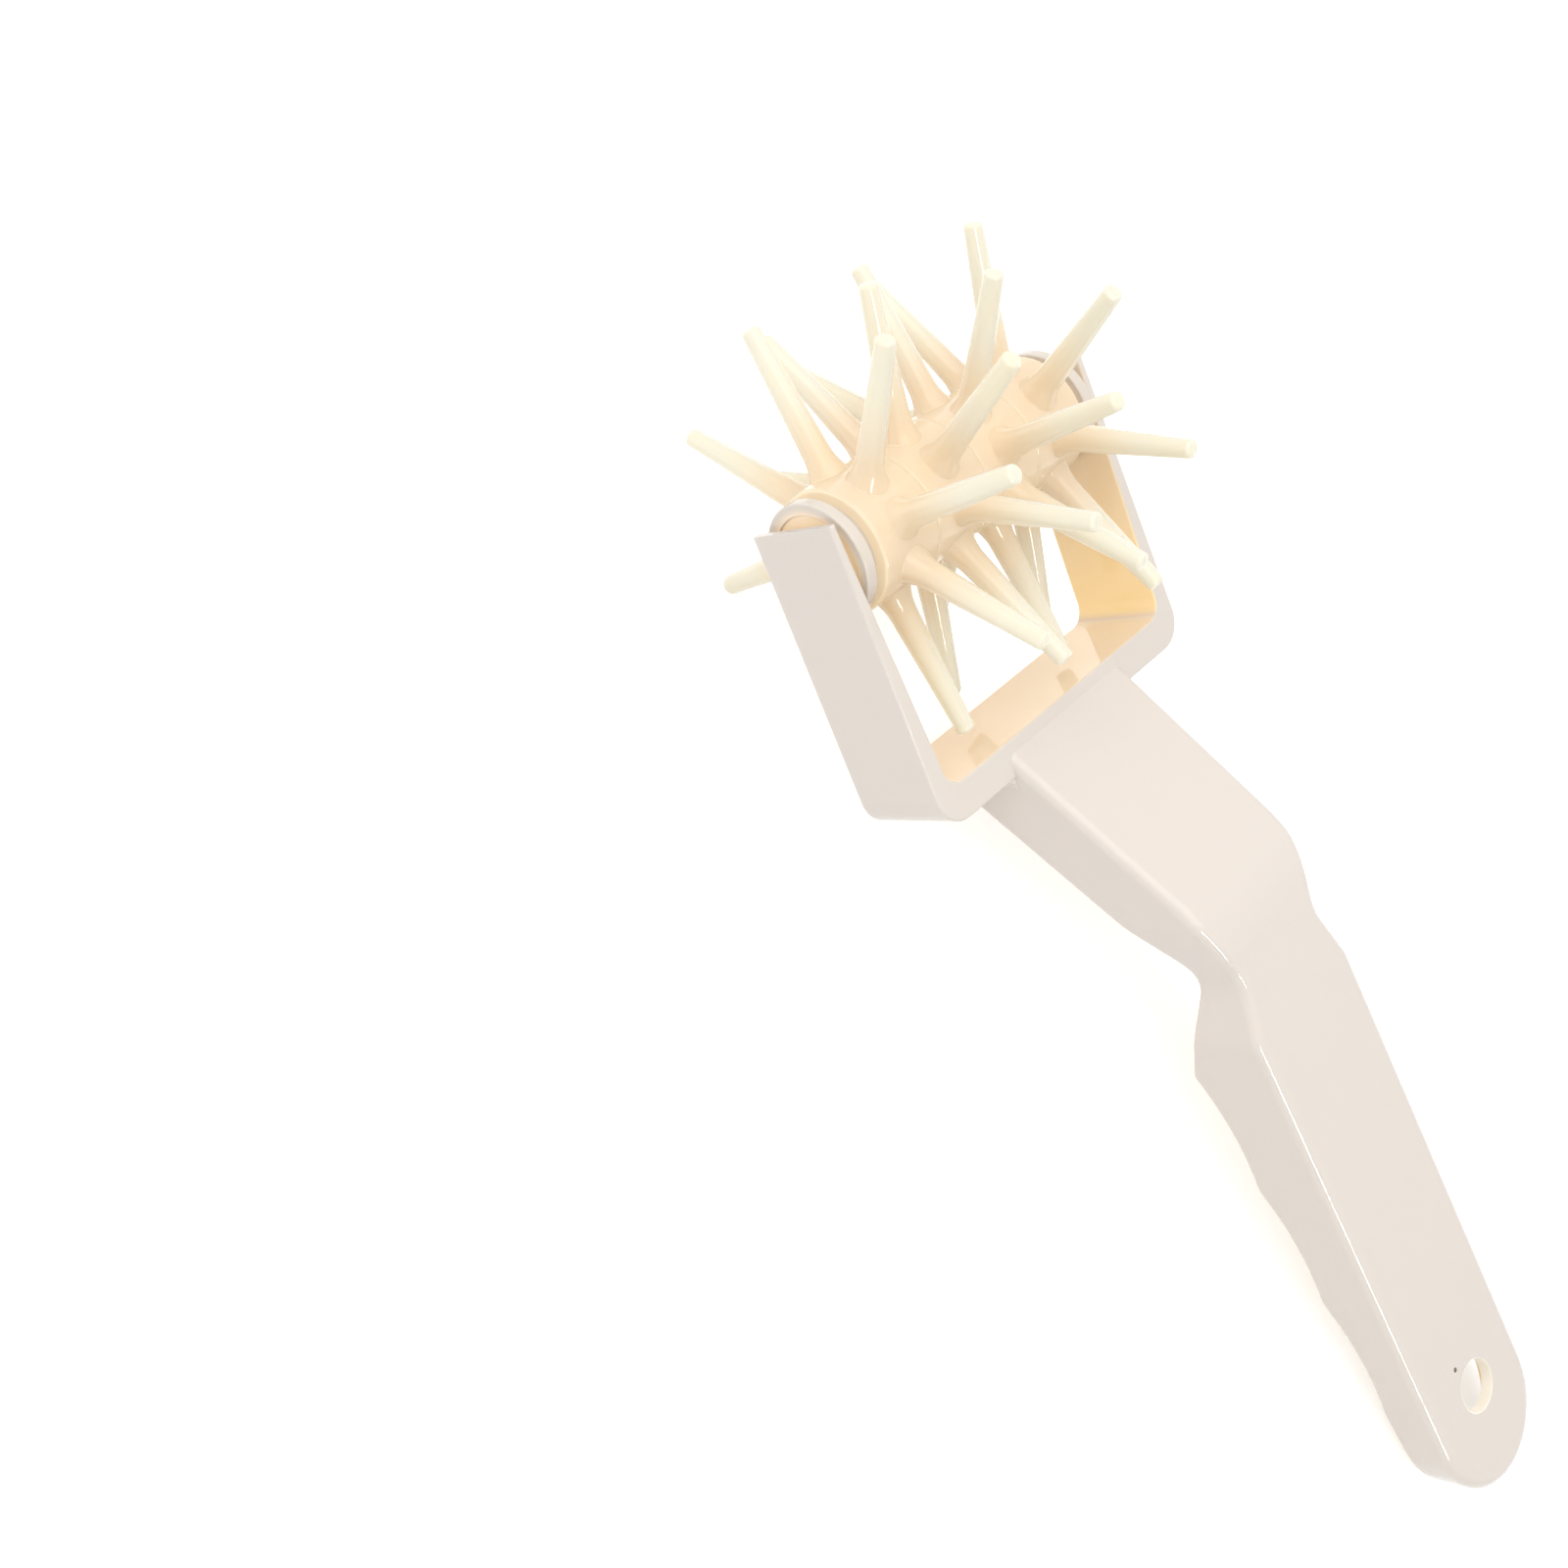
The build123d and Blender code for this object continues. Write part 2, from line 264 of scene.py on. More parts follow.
class ShaderKit:
    """Node groups that more than one plastic uses, each built once. Lengths are in metres."""

    SOCKETS = {1: "NodeSocketFloat", 3: "NodeSocketVector", 4: "NodeSocketColor"}
    # Where clouds and scuffs fade in and out, as levels of their noise
    CLOUD_LEVELS = (0.32, 0.68)
    SCUFF_LEVELS = (0.35, 0.65)
    # How squarely a face looks into the yoke, or from the crossbar to the roller
    INNER_LEVELS = (0.35, 0.9)
    FRONT_LEVELS = (0.75, 0.95)
    END_LEVEL = 0.7
    # How far along the tool the arms end and the crossbar starts
    CROSSBAR_REACH = (0.03, 0.034)
    # How much painted warm shade and painted glow is left at the arms' ends and on the crossbar's
    # front
    ARM_END_SHARE = 0.3
    FRONT_SHADE_SHARE = 0.3
    FRONT_GLOW_SHARE = 0.75

    def __init__(self) -> None:
        """Build the groups."""
        self.flow = self._flow_group()
        self.skin = self._skin_group()
        self.specks = self._specks_group()
        self.depth = self._depth_group()
        self.pocket = self._pocket_group()
        self.facing = self._facing_group()

    @classmethod
    def _start(cls, name: str, inputs: Mapping[str, float | tuple],
               outputs: Mapping[str, int]) -> Wires:
        """Start a shader group with its sockets.

        Args:
            name: The group's name.
            inputs: The default of each input, whose length gives its kind.
            outputs: The length of each output.

        Returns:
            The group, holding its input and output nodes.
        """
        tree = bpy.data.node_groups.new(name, "ShaderNodeTree")
        for label, default in inputs.items():
            kind = cls.SOCKETS[len(default) if isinstance(default, tuple) else 1]
            socket = tree.interface.new_socket(label, in_out="INPUT", socket_type=kind)
            socket.default_value = default
        for label, length in outputs.items():
            tree.interface.new_socket(label, in_out="OUTPUT", socket_type=cls.SOCKETS[length])
        tree.nodes.new("NodeGroupInput").name = "in"
        tree.nodes.new("NodeGroupOutput").name = "out"
        return Wires(tree)

    @classmethod
    def _flow_group(cls) -> bpy.types.NodeTree:
        """Soft cloudy mix of two tones, as pigment flows in a mould.

        Returns:
            A group that puts out a colour.
        """
        wires = cls._start(
            "pigment_flow",
            {"Main tone": (0.9, 0.9, 0.9, 1), "Second tone": (0.9, 0.85, 0.8, 1),
             "Cloud scale": 60.0, "Share": 0.5},
            {"Color": 4})
        given = wires.given
        cloud = wires.noise(wires.here(), given["Cloud scale"], 3.0, 0.45)
        share = wires.math(
            "MULTIPLY", wires.ramp(cloud, *cls.CLOUD_LEVELS, kind="LINEAR"), given["Share"])
        return wires.give(Color=wires.mix(share, given["Main tone"], given["Second tone"]))

    @classmethod
    def _skin_group(cls) -> bpy.types.NodeTree:
        """The moulded skin: a slow waviness, fine scuffs and an uneven gloss.

        Returns:
            A group that puts out a height and a roughness.
        """
        wires = cls._start(
            "moulded_skin",
            {"Wave scale": 90.0, "Scuff scale": 1400.0, "Scuff share": 0.2,
             "Low roughness": 0.2, "High roughness": 0.32},
            {"Height": 1, "Roughness": 1})
        given = wires.given
        wave = wires.noise(wires.here(), given["Wave scale"], 1.0)
        along_tool = wires.node(
            "ShaderNodeMapping", {"Vector": wires.here(), "Scale": (0.25, 1.0, 1.0)})
        scuff = wires.noise(along_tool.outputs["Vector"], given["Scuff scale"], 4.0, 0.65)
        gloss = wires.ramp(
            scuff, *cls.SCUFF_LEVELS, given["Low roughness"], given["High roughness"], "LINEAR")
        height = wires.mix(given["Scuff share"], wave, scuff, "FLOAT")
        return wires.give(Height=height, Roughness=gloss)

    @classmethod
    def _specks_group(cls) -> bpy.types.NodeTree:
        """Rare dark specks of burnt resin, and one at a given place.

        Returns:
            A group that darkens a colour at each speck.
        """
        wires = cls._start(
            "resin_specks",
            {"Color": (0.9, 0.9, 0.9, 1), "Speck tone": (0.2, 0.16, 0.1, 1), "Cell scale": 70.0,
             "Speck size": 0.02, "Rarity": 0.9, "Lone speck place": (0.0, 0.0, -1.0),
             "Lone speck radius": 0.00042},
            {"Color": 4})
        given = wires.given
        cells = wires.node(
            "ShaderNodeTexVoronoi", {"Vector": wires.here(), "Scale": given["Cell scale"]}).outputs
        near = wires.math("LESS_THAN", cells["Distance"], given["Speck size"])
        draw = wires.node("ShaderNodeSeparateColor", {"Color": cells["Color"]}).outputs["Red"]
        rare = wires.math("GREATER_THAN", draw, given["Rarity"])
        gap = wires.vector("DISTANCE", wires.here(), given["Lone speck place"])
        lone = wires.math("LESS_THAN", gap, given["Lone speck radius"])
        speck = wires.math("MAXIMUM", wires.math("MULTIPLY", near, rare), lone)
        return wires.give(Color=wires.mix(speck, given["Color"], given["Speck tone"]))

    @classmethod
    def _depth_group(cls) -> bpy.types.NodeTree:
        """Tone that warms towards an axis along Y, where the plastic is thickest; the roller also
        grades its painted glow with it.

        Returns:
            A group that puts out a colour.
        """
        wires = cls._start(
            "thickness_tone_and_painted_glow",
            {"Thick tone": (0.9, 0.8, 0.6, 1), "Thin tone": (0.9, 0.9, 0.8, 1),
             "Axis place": (0.0, 0.0, 0.0), "Thick radius": 0.009, "Thin radius": 0.03},
            {"Color": 4})
        given = wires.given
        away = wires.off_axis(given["Axis place"])
        share = wires.ramp(away, given["Thick radius"], given["Thin radius"])
        return wires.give(Color=wires.mix(share, given["Thick tone"], given["Thin tone"]))

    @classmethod
    def _pocket_group(cls) -> bpy.types.NodeTree:
        """Painted warm shade on faces that look into the yoke or down into the hollow handle.

        The same faces also get a painted warm glow, standing in for light that comes through the
        plastic, and the thin wall of the hanging hole gets a paler painted glow instead of the
        shade.

        Returns:
            A group that puts out a colour and a glow.
        """
        wires = cls._start(
            "painted_pocket_shade_and_glow",
            {"Open tone": (0.9, 0.9, 0.9, 1), "Painted pocket shade": (1.0, 0.85, 0.6, 1),
             "Painted glow tone": (0.2, 0.12, 0.04, 1), "Hole painted glow tone": (0.3, 0.28, 0.2, 1),
             "Axis place": (0.0, 0.0, 0.0), "Along tool": (1.0, 0.0, 0.0),
             "Out of tool": (0.0, 0.0, 1.0), "Arm end": -0.006, "Crossbar": 0.036,
             "Hole place": (0.0, 0.0, 0.0), "Hole radius": 0.0045},
            {"Color": 4, "Glow": 4})
        given, times = wires.given, partial(wires.math, "MULTIPLY")
        here, facing = wires.here(), wires.here("Normal")
        offset = wires.vector("SUBTRACT", here, given["Axis place"])
        reach = wires.vector("DOT_PRODUCT", offset, given["Along tool"])
        nearness = wires.ramp(reach, given["Arm end"], given["Crossbar"], cls.ARM_END_SHARE)

        # How far each face looks to the middle, down, or from the crossbar to the roller
        hand = wires.math("SIGN", wires.across(here))
        inward = times(times(wires.across(facing), hand), -1.0)
        down = times(wires.vector("DOT_PRODUCT", facing, given["Out of tool"]), -1.0)
        front = times(wires.vector("DOT_PRODUCT", facing, given["Along tool"]), -1.0)
        inner = wires.math("MAXIMUM", wires.ramp(inward, *cls.INNER_LEVELS),
                           wires.ramp(down, *cls.INNER_LEVELS))
        on_crossbar = times(wires.ramp(front, *cls.FRONT_LEVELS),
                            wires.ramp(reach, *cls.CROSSBAR_REACH))
        # Where the painted warm shade and the painted glow go; the crossbar's front gets less of
        # each
        shade_mask = wires.math("MAXIMUM", inner, times(on_crossbar, cls.FRONT_SHADE_SHARE))
        lit = wires.math("MAXIMUM", inner, times(on_crossbar, cls.FRONT_GLOW_SHARE))

        from_hole = wires.vector("SUBTRACT", here, given["Hole place"])
        off_hole_axis = wires.vector("CROSS_PRODUCT", from_hole, given["Out of tool"])
        at_hole = wires.math(
            "LESS_THAN", wires.vector("LENGTH", off_hole_axis), given["Hole radius"])
        # The hole's wall gets no painted shade, only its own paler painted glow
        shade_share = times(times(shade_mask, nearness), wires.math("SUBTRACT", 1.0, at_hole))
        glow = wires.mix(times(lit, nearness), DARK, given["Painted glow tone"])
        return wires.give(
            Color=wires.mix(shade_share, given["Open tone"], given["Painted pocket shade"]),
            Glow=wires.mix(at_hole, glow, given["Hole painted glow tone"]))

    @classmethod
    def _facing_group(cls) -> bpy.types.NodeTree:
        """Two tones: one for faces that look out along Y inside a radius, one for the rest; the
        plastics use it to put painted glow on end faces that sit in shade.

        Returns:
            A group that puts out a colour.
        """
        wires = cls._start(
            "painted_end_face_glow",
            {"Side tone": (0.1, 0.1, 0.1, 1), "End tone": (0.2, 0.1, 0.0, 1),
             "Axis place": (0.0, 0.0, 0.0), "Full radius": 0.007, "Clear radius": 0.009},
            {"Color": 4})
        given = wires.given
        squarely = wires.math("ABSOLUTE", wires.across(wires.here("Normal")))
        ends = wires.math("GREATER_THAN", squarely, cls.END_LEVEL)
        away = wires.off_axis(given["Axis place"])
        inside = wires.ramp(away, given["Full radius"], given["Clear radius"], 1.0, 0.0)
        share = wires.math("MULTIPLY", ends, inside)
        return wires.give(Color=wires.mix(share, given["Side tone"], given["End tone"]))


@dataclass(frozen=True)
class Lie:
    """How the tool lies: its axis line, hanging hole, resin speck and its own directions."""

    axis: Vector
    hole: Point
    speck: Point
    angle: float = 21.024

    @property
    def along(self) -> Vector:
        """From the roller to the tail."""
        turn = math.radians(self.angle)
        return Vector((math.cos(turn), 0, -math.sin(turn)))

    @property
    def out(self) -> Vector:
        """Out of the tool's top."""
        turn = math.radians(self.angle)
        return Vector((math.sin(turn), 0, math.cos(turn)))


@dataclass(frozen=True)
class MouldedPlastic:
    """A glossy, slightly translucent moulded plastic.

    Tones are as seen on a screen, from 0 to 255, and depths are in metres.
    """

    name: str
    tone: Colour
    second_tone: Colour
    roughness: tuple[float, float] = (0.2, 0.3)
    thick_tone: Colour | None = None
    # Painted warm shade and painted glow inside the yoke and hollow handle
    painted_pocket_shade: Colour | None = None
    painted_pocket_glow: Colour = (0.0, 0.0, 0.0)
    # Painted glow that only the camera sees, standing in for light through the plastic
    painted_body_glow: Colour = (0.0, 0.0, 0.0)
    painted_end_glow: Colour = (0.0, 0.0, 0.0)
    painted_face_glow: Colour | None = None
    face_radius: float = 0.008
    face_blur: float = 0.001
    lone_speck: bool = False
    thick_radius: float = 0.009
    thin_radius: float = 0.027
    glow_depth: float = 0.002
    glow_weight: float = 0.15
    glow_spread: Colour = (1.0, 0.8, 0.6)
    cloud_scale: float = 45.0
    cloud_share: float = 0.8
    wave_scale: float = 70.0
    scuff_share: float = 0.015
    bump: float = 0.02
    bump_depth: float = 0.0006
    ior: float = 1.49
    speck_rarity: float = 0.985

    def make(self, kit: ShaderKit, lie: Lie) -> bpy.types.Material:
        """Build the material.

        Args:
            kit: The shared node groups.
            lie: How the tool lies.

        Returns:
            The finished material.
        """
        material = bpy.data.materials.new(self.name)
        material.use_nodes = True
        wires = Wires(material.node_tree)
        wires.tree.nodes.clear()
        tone, glow = self._tone_and_glow(wires, kit, lie)
        colour = wires.group(kit.flow, {
            "Main tone": tone, "Second tone": to_linear(self.second_tone),
            "Cloud scale": self.cloud_scale, "Share": self.cloud_share})["Color"]
        specks: dict[str, Value] = {"Color": colour, "Rarity": self.speck_rarity}
        if self.lone_speck:
            specks["Lone speck place"] = lie.speck
        skin = wires.group(kit.skin, {
            "Wave scale": self.wave_scale, "Scuff share": self.scuff_share,
            "Low roughness": self.roughness[0], "High roughness": self.roughness[1]})
        bump = wires.node("ShaderNodeBump", {
            "Strength": self.bump, "Distance": self.bump_depth, "Height": skin["Height"]})
        # Painted glow, standing in for light that comes through the plastic: only the camera sees
        # it and it lights nothing else
        seen = wires.node("ShaderNodeLightPath").outputs["Is Camera Ray"]
        plastic = wires.node("ShaderNodeBsdfPrincipled", {
            "Base Color": wires.group(kit.specks, specks)["Color"],
            "Roughness": skin["Roughness"],
            "Normal": bump.outputs["Normal"],
            "IOR": self.ior,
            "Subsurface Weight": self.glow_weight,
            "Subsurface Radius": self.glow_spread,
            "Subsurface Scale": self.glow_depth,
            "Emission Color": wires.mix(seen, DARK, glow),
            "Emission Strength": 1.0})
        wires.node("ShaderNodeOutputMaterial", {"Surface": plastic.outputs["BSDF"]})
        return material

    def _tone_and_glow(self, wires: Wires, kit: ShaderKit, lie: Lie) -> tuple[Value, Value]:
        """Work out the plastic's main tone, with any painted pocket shade, and its painted glow.

        Args:
            wires: The material's tree.
            kit: The shared node groups.
            lie: How the tool lies.

        Returns:
            The tone and the glow.
        """
        tone: Value = to_linear(self.tone)
        # Painted glow over the whole body, graded from the hub out to the spikes when a thick tone
        # is given
        glow: Value = (*self.painted_body_glow, 1)
        if self.thick_tone is not None:
            reach = {"Axis place": lie.axis, "Thick radius": self.thick_radius,
                     "Thin radius": self.thin_radius}
            glow = wires.group(kit.depth, {
                "Thick tone": glow, "Thin tone": (*self.painted_end_glow, 1), **reach})["Color"]
            tone = wires.group(kit.depth, {
                "Thick tone": to_linear(self.thick_tone), "Thin tone": tone, **reach})["Color"]
        # Painted glow on end faces that sit in shade
        if self.painted_face_glow is not None:
            glow = wires.group(kit.facing, {
                "Side tone": glow, "End tone": (*self.painted_face_glow, 1), "Axis place": lie.axis,
                "Full radius": self.face_radius - self.face_blur,
                "Clear radius": self.face_radius + self.face_blur})["Color"]
        # Painted warm shade and painted glow inside the yoke and hollow handle
        if self.painted_pocket_shade is not None:
            pocket = wires.group(kit.pocket, {
                "Open tone": tone, "Painted pocket shade": to_linear(self.painted_pocket_shade),
                "Painted glow tone": (*self.painted_pocket_glow, 1), "Hole place": lie.hole,
                "Axis place": lie.axis, "Along tool": lie.along, "Out of tool": lie.out})
            tone, glow = pocket["Color"], pocket["Glow"]
        return tone, glow


# The handle gets painted warm shade and painted glow on its inner faces
HANDLE_PLASTIC = MouldedPlastic(
    "handle_cream", (237, 228, 219), (239, 228, 216), painted_pocket_shade=(255, 232, 188),
    painted_pocket_glow=(0.31, 0.18, 0.05), roughness=(0.04, 0.07), lone_speck=True, cloud_share=0.3)
# The caps get a faint painted glow, and a stronger one on their end faces
CAP_PLASTIC = MouldedPlastic(
    "cap_cream", (232, 224, 214), (234, 224, 211), painted_body_glow=(0.02, 0.01, 0.0),
    painted_face_glow=(0.4, 0.24, 0.08), roughness=(0.1, 0.16))
# The roller gets painted glow, graded from hub to spike ends, and more on its shaded end faces
ROLLER_PLASTIC = MouldedPlastic(
    "roller_cream", (222, 219, 206), (241, 220, 172), thick_tone=(232, 211, 187),
    painted_body_glow=(0.175, 0.135, 0.07), painted_end_glow=(0.24, 0.22, 0.155), painted_face_glow=(0.29, 0.25, 0.16),
    face_radius=0.0101, face_blur=0.0001, roughness=(0.08, 0.15),
    glow_depth=0.0025, glow_weight=0.3, cloud_scale=80.0, cloud_share=0.25)
# Painted highlight: the parting beads get a lighter copy of the roller plastic with painted glow
SEAM_PAINTED_HIGHLIGHT = MouldedPlastic(
    "parting_bead_painted_highlight", (252, 248, 238), (252, 246, 234), painted_body_glow=(0.14, 0.13, 0.11),
    roughness=(0.08, 0.15))
CORE_PLASTIC = MouldedPlastic("core_cream", (240, 230, 210), (236, 226, 206), roughness=(0.4, 0.5))


class Geometry:
    """Small helpers that put finished meshes into the scene."""

    @staticmethod
    def polyline(name: str, points: Sequence[Vector]) -> bpy.types.Object:
        """Make a mesh of one open run of edges.

        Args:
            name: The object's name.
            points: Its corners in order.

        Returns:
            The linked object.
        """
        mesh = bpy.data.meshes.new(name)
        edges = [(place, place + 1) for place in range(len(points) - 1)]
        mesh.from_pydata([tuple(point) for point in points], edges, [])
        piece = bpy.data.objects.new(name, mesh)
        bpy.context.scene.collection.objects.link(piece)
        return piece

    @staticmethod
    def settle(piece: bpy.types.Object) -> bpy.types.Object:
        """Turn a piece and its modifier into a plain mesh.

        Args:
            piece: An object with a live modifier.

        Returns:
            The same object, holding the finished mesh.
        """
        graph = bpy.context.evaluated_depsgraph_get()
        finished = bpy.data.meshes.new_from_object(piece.evaluated_get(graph))
        piece.modifiers.clear()
        piece.data = finished
        return piece

    @staticmethod
    def face_out(piece: bpy.types.Object) -> None:
        """Point every face of a piece out of it.

        Args:
            piece: A piece with closed shells.
        """
        shells = bmesh.new()
        shells.from_mesh(piece.data)
        bmesh.ops.recalc_face_normals(shells, faces=shells.faces)
        shells.to_mesh(piece.data)
        shells.free()


@dataclass
class SeamTree:
    """Geometry Nodes that sweep a fine bead along a run and repeat it round an axis along Y."""

    name: str = "parting_beads"
    sides: int = 6

    def build(self) -> bpy.types.GeometryNodeTree:
        """Build the tree with its named inputs.

        Returns:
            The tree.
        """
        tree = bpy.data.node_groups.new(self.name, "GeometryNodeTree")
        face = tree.interface
        face.new_socket("Geometry", in_out="OUTPUT", socket_type="NodeSocketGeometry")
        face.new_socket("Geometry", in_out="INPUT", socket_type="NodeSocketGeometry")
        for label, kind in (("Bead radius", "NodeSocketFloat"), ("Copies", "NodeSocketInt"),
                            ("Rows", "NodeSocketInt"), ("Row step", "NodeSocketFloat"),
                            ("Row turn", "NodeSocketFloat"), ("First row", "NodeSocketVector"),
                            ("Plastic", "NodeSocketMaterial")):
            face.new_socket(label, in_out="INPUT", socket_type=kind)
        wires = Wires(tree)
        given = wires.node("NodeGroupInput").outputs
        run = wires.node("GeometryNodeMeshToCurve", {"Mesh": given["Geometry"]})
        ring = wires.node("GeometryNodeCurvePrimitiveCircle", {
            "Resolution": self.sides, "Radius": given["Bead radius"]})
        sweep = wires.node("GeometryNodeCurveToMesh", {
            "Curve": run.outputs["Curve"], "Profile Curve": ring.outputs["Curve"],
            "Fill Caps": True})
        rank = wires.node("GeometryNodeInputIndex").outputs[0]

        # Copies round the axis
        spin = wires.node("GeometryNodePoints", {"Count": given["Copies"]})
        turn = wires.math("MULTIPLY", wires.math("DIVIDE", math.tau, given["Copies"]), rank)
        around = wires.node("GeometryNodeInstanceOnPoints", {
            "Points": spin.outputs[0], "Instance": sweep.outputs["Mesh"],
            "Rotation": self._on_y(wires, turn)})

        # Rows along the axis, with every other row turned
        rows = wires.node("GeometryNodeMeshLine", {
            "Count": given["Rows"], "Start Location": given["First row"],
            "Offset": self._on_y(wires, given["Row step"])})
        lean = wires.math("MULTIPLY", wires.math("MODULO", rank, 2.0), given["Row turn"])
        stack = wires.node("GeometryNodeInstanceOnPoints", {
            "Points": rows.outputs["Mesh"], "Instance": around.outputs["Instances"],
            "Rotation": self._on_y(wires, lean)})

        whole = wires.node("GeometryNodeRealizeInstances", {"Geometry": stack.outputs["Instances"]})
        smooth = wires.node("GeometryNodeSetShadeSmooth", {"Geometry": whole.outputs["Geometry"]})
        dress = wires.node("GeometryNodeSetMaterial", {
            "Geometry": smooth.outputs["Geometry"], "Material": given["Plastic"]})
        wires.node("NodeGroupOutput", {"Geometry": dress.outputs["Geometry"]})
        return tree

    @staticmethod
    def _on_y(wires: Wires, value: bpy.types.NodeSocket) -> bpy.types.NodeSocket:
        """Put a number on a vector's Y, as a step along that axis or a turn about it.

        Args:
            wires: The tree to build in.
            value: The step or the angle in radians.

        Returns:
            The vector.
        """
        return wires.node("ShaderNodeCombineXYZ", {"Y": value}).outputs["Vector"]


@dataclass
class SpikedRoller:
    """The roller: rings of spikes on a core, with a cap on each end. Sizes are in metres."""

    ring_count: int = 4
    spikes_per_ring: int = 8
    ring_width: float = 0.0125
    spike_reach: float = 0.0336
    tip_radius: float = 0.00145
    tip_round: float = 0.0006
    shank_radius: float = 0.00215
    hub_radius: float = 0.01
    flare_height: float = 0.0035
    bead_radius: float = 0.00012
    bead_sink: float = 0.00004
    bead_start: float = 0.001
    bead_rise: float = 0.004
    buried_radii: int = 3
    tip_steps: int = 4
    plastics: dict[str, bpy.types.Material] = field(default_factory=dict)

    @property
    def rings(self) -> list[str]:
        """Names of the rings' nodes."""
        return [f"spike_ring_{place + 1}" for place in range(self.ring_count)]

    @property
    def centre(self) -> Vector:
        """Middle of the roller, on its axis."""
        low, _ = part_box(self.rings[0])
        _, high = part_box(self.rings[-1])
        return (low + high) / 2

    @property
    def key_turn(self) -> float:
        """How far each ring's spikes stand off the square of the core, in radians."""
        return math.tau / self.spikes_per_ring / 4

    def dress(self, kit: ShaderKit, lie: Lie) -> None:
        """Give the roller's nodes their plastics.

        Args:
            kit: The shared node groups.
            lie: How the tool lies.
        """
        self.plastics = {
            "rings": ROLLER_PLASTIC.make(kit, lie),
            "caps": CAP_PLASTIC.make(kit, lie),
            "core": CORE_PLASTIC.make(kit, lie),
            "seams": SEAM_PAINTED_HIGHLIGHT.make(kit, lie),
        }
        for node in self.rings:
            put_on(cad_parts[node], self.plastics["rings"])
        for node in ("end_cap_left", "end_cap_right"):
            put_on(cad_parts[node], self.plastics["caps"])
        put_on(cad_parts["roller_core"], self.plastics["core"])

    def spike_outline(self) -> list[Vector]:
        """One spike's parting line in the ring's middle plane, from root to root over its end.

        Returns:
            Points with x along the spike and z across it. The line rises out of the plastic
            above the flared root.
        """
        foot = Vector((self.hub_radius + self.flare_height, self.shank_radius))
        tip = Vector((self.spike_reach, self.tip_radius))
        run = (tip - foot).length
        shank = (tip - foot) / run
        inward = Vector((shank.y, -shank.x))
        side = [foot + shank * self.bead_start + inward * self.buried_radii * self.bead_radius,
                foot + shank * (self.bead_start + self.bead_rise) + inward * self.bead_sink]
        corner = Vector((self.spike_reach - self.tip_round, self.tip_radius - self.tip_round))
        for step in range(self.tip_steps + 1):
            angle = math.pi / 2 * (1 - step / self.tip_steps)
            out = Vector((math.cos(angle), math.sin(angle)))
            side.append(corner + out * (self.tip_round - self.bead_sink))
        whole = side + [Vector((point.x, -point.y)) for point in reversed(side)]
        return [Vector((point.x, 0.0, point.y)) for point in whole]

    def parting_lines(self, tree: bpy.types.GeometryNodeTree) -> bpy.types.Object:
        """Raise the fine line left where the halves of the rings' mould met.

        Args:
            tree: The tree that repeats and sweeps the line.

        Returns:
            The finished piece.
        """
        piece = Geometry.polyline("roller_parting_lines", self.spike_outline())
        first = self.centre - Vector((0, self.ring_width * (self.ring_count - 1) / 2, 0))
        values = {
            "Bead radius": self.bead_radius,
            "Copies": self.spikes_per_ring,
            "Rows": self.ring_count,
            "Row step": self.ring_width,
            "Row turn": -2 * self.key_turn,
            "First row": first,
            # The beads carry a painted highlight
            "Plastic": self.plastics["seams"],
        }
        run_tree(piece, tree, values)
        # The first row's spikes stand one key turn off the row's own X
        centre = self.centre
        turn = Matrix.Rotation(self.key_turn, 4, "Y")
        piece.data.transform(Matrix.Translation(centre) @ turn @ Matrix.Translation(-centre))
        Geometry.face_out(piece)
        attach(piece, Body.ROLLER.value)
        return piece


@dataclass
class HandleFrame:
    """The yoke and handle in one moulding. Sizes are in metres."""

    hole: Point = (0.09334, 0.0, 0.01072)
    speck: Point = (0.08802, -0.00315, 0.01326)

    def dress(self, kit: ShaderKit, lie: Lie) -> None:
        """Give the moulding its plastic.

        Args:
            kit: The shared node groups.
            lie: How the tool lies.
        """
        put_on(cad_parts["handle_frame"], HANDLE_PLASTIC.make(kit, lie))


@dataclass(frozen=True)
class Lamp:
    """One soft lamp that faces the object. Lengths are in metres, power is in watts.

    Its width follows the direction "along" as nearly as it can.
    """

    name: str
    place: Point
    face: tuple[float, float]
    power: float
    along: Point = (0.0, 1.0, 0.0)

    def hang(self) -> bpy.types.Object:
        """Hang the lamp.

        Returns:
            The lamp.
        """
        data = bpy.data.lights.new(self.name, "AREA")
        data.shape = "RECTANGLE"
        data.size, data.size_y = self.face
        data.energy = self.power
        lamp = bpy.data.objects.new(self.name, data)
        lamp.location = self.place
        back = Vector(self.place).normalized()
        wide = (Vector(self.along) - back * back.dot(Vector(self.along))).normalized()
        lamp.rotation_euler = Matrix((wide, back.cross(wide), back)).transposed().to_euler()
        bpy.context.scene.collection.objects.link(lamp)
        return lamp


